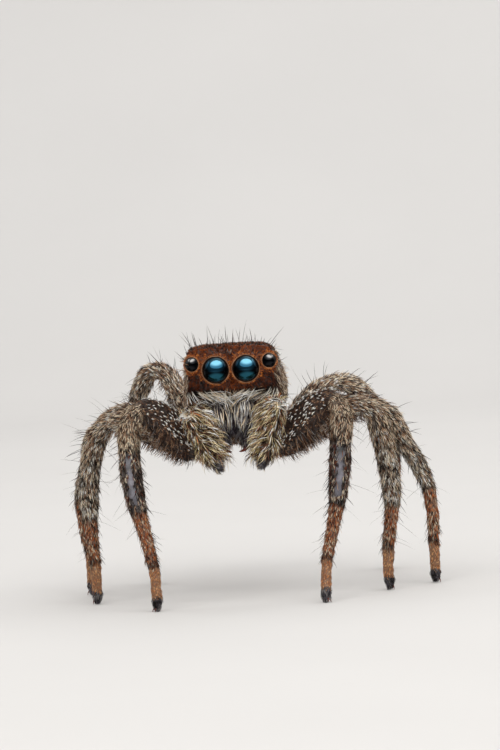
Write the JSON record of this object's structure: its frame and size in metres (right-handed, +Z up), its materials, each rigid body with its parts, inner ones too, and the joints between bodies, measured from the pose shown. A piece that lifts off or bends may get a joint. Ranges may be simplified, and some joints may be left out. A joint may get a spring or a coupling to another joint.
{
  "type": "jumping spider",
  "caption": "Life-size still model of a standing jumping spider: boxy head with large front eyes, hairy palps and jaws, oval abdomen and spotted, bristly legs.",
  "frame": {"origin": "on the ground, under the middle of the bounding box", "axes": "+Z up, -Y the way the face looks, +X the spider's own left"},
  "size_m": [0.0114, 0.012, 0.0077],
  "materials": {
    "carapace": "red-brown skin with short flat orange-brown hair, darker on the crown and cheeks",
    "abdomen": "grey-brown skin under short mottled brown and cream hair",
    "underside": "dark brown skin with sparse pale hair",
    "jaw": "dark, slightly glossy skin with grey hair",
    "fang": "glossy dark red horn",
    "palp": "grey-brown skin under long cream and grey hair",
    "main_eye": "wet-looking black lens with a blue-green depth",
    "side_eye": "wet-looking black lens",
    "leg": "dark chestnut skin with mottled brown, grey and white hair",
    "foot": "reddish brown to orange skin with a black-grey tuft at the tip"
  },
  "bodies": {
    "root": {"abdomen": "abdomen", "carapace": "carapace", "eye_back_side_left": "side_eye", "eye_back_side_right": "side_eye", "eye_back_small_left": "side_eye", "eye_back_small_right": "side_eye", "eye_front_middle_left": "main_eye", "eye_front_middle_right": "main_eye", "eye_front_side_left": "side_eye", "eye_front_side_right": "side_eye", "fang_left": "fang", "fang_right": "fang", "jaw_left": "jaw", "jaw_right": "jaw", "leg_1_left_femur": "leg", "leg_1_left_metatarsus": "foot", "leg_1_left_patella": "leg", "leg_1_left_tarsus": "foot", "leg_1_left_tibia": "leg", "leg_1_right_femur": "leg", "leg_1_right_metatarsus": "foot", "leg_1_right_patella": "leg", "leg_1_right_tarsus": "foot", "leg_1_right_tibia": "leg", "leg_2_left_femur": "leg", "leg_2_left_metatarsus": "foot", "leg_2_left_patella": "leg", "leg_2_left_tarsus": "foot", "leg_2_left_tibia": "leg", "leg_2_right_femur": "leg", "leg_2_right_metatarsus": "foot", "leg_2_right_patella": "leg", "leg_2_right_tarsus": "foot", "leg_2_right_tibia": "leg", "leg_3_left_femur": "leg", "leg_3_left_metatarsus": "foot", "leg_3_left_patella": "leg", "leg_3_left_tarsus": "foot", "leg_3_left_tibia": "leg", "leg_3_right_femur": "leg", "leg_3_right_metatarsus": "foot", "leg_3_right_patella": "leg", "leg_3_right_tarsus": "foot", "leg_3_right_tibia": "leg", "leg_4_left_femur": "leg", "leg_4_left_metatarsus": "foot", "leg_4_left_patella": "leg", "leg_4_left_tarsus": "foot", "leg_4_left_tibia": "leg", "leg_4_right_femur": "leg", "leg_4_right_metatarsus": "foot", "leg_4_right_patella": "leg", "leg_4_right_tarsus": "foot", "leg_4_right_tibia": "leg", "palp_left": "palp", "palp_right": "palp", "pedicel": "underside", "spinnerets": "underside", "underbody": "underside"}
  },
  "joints": []
}
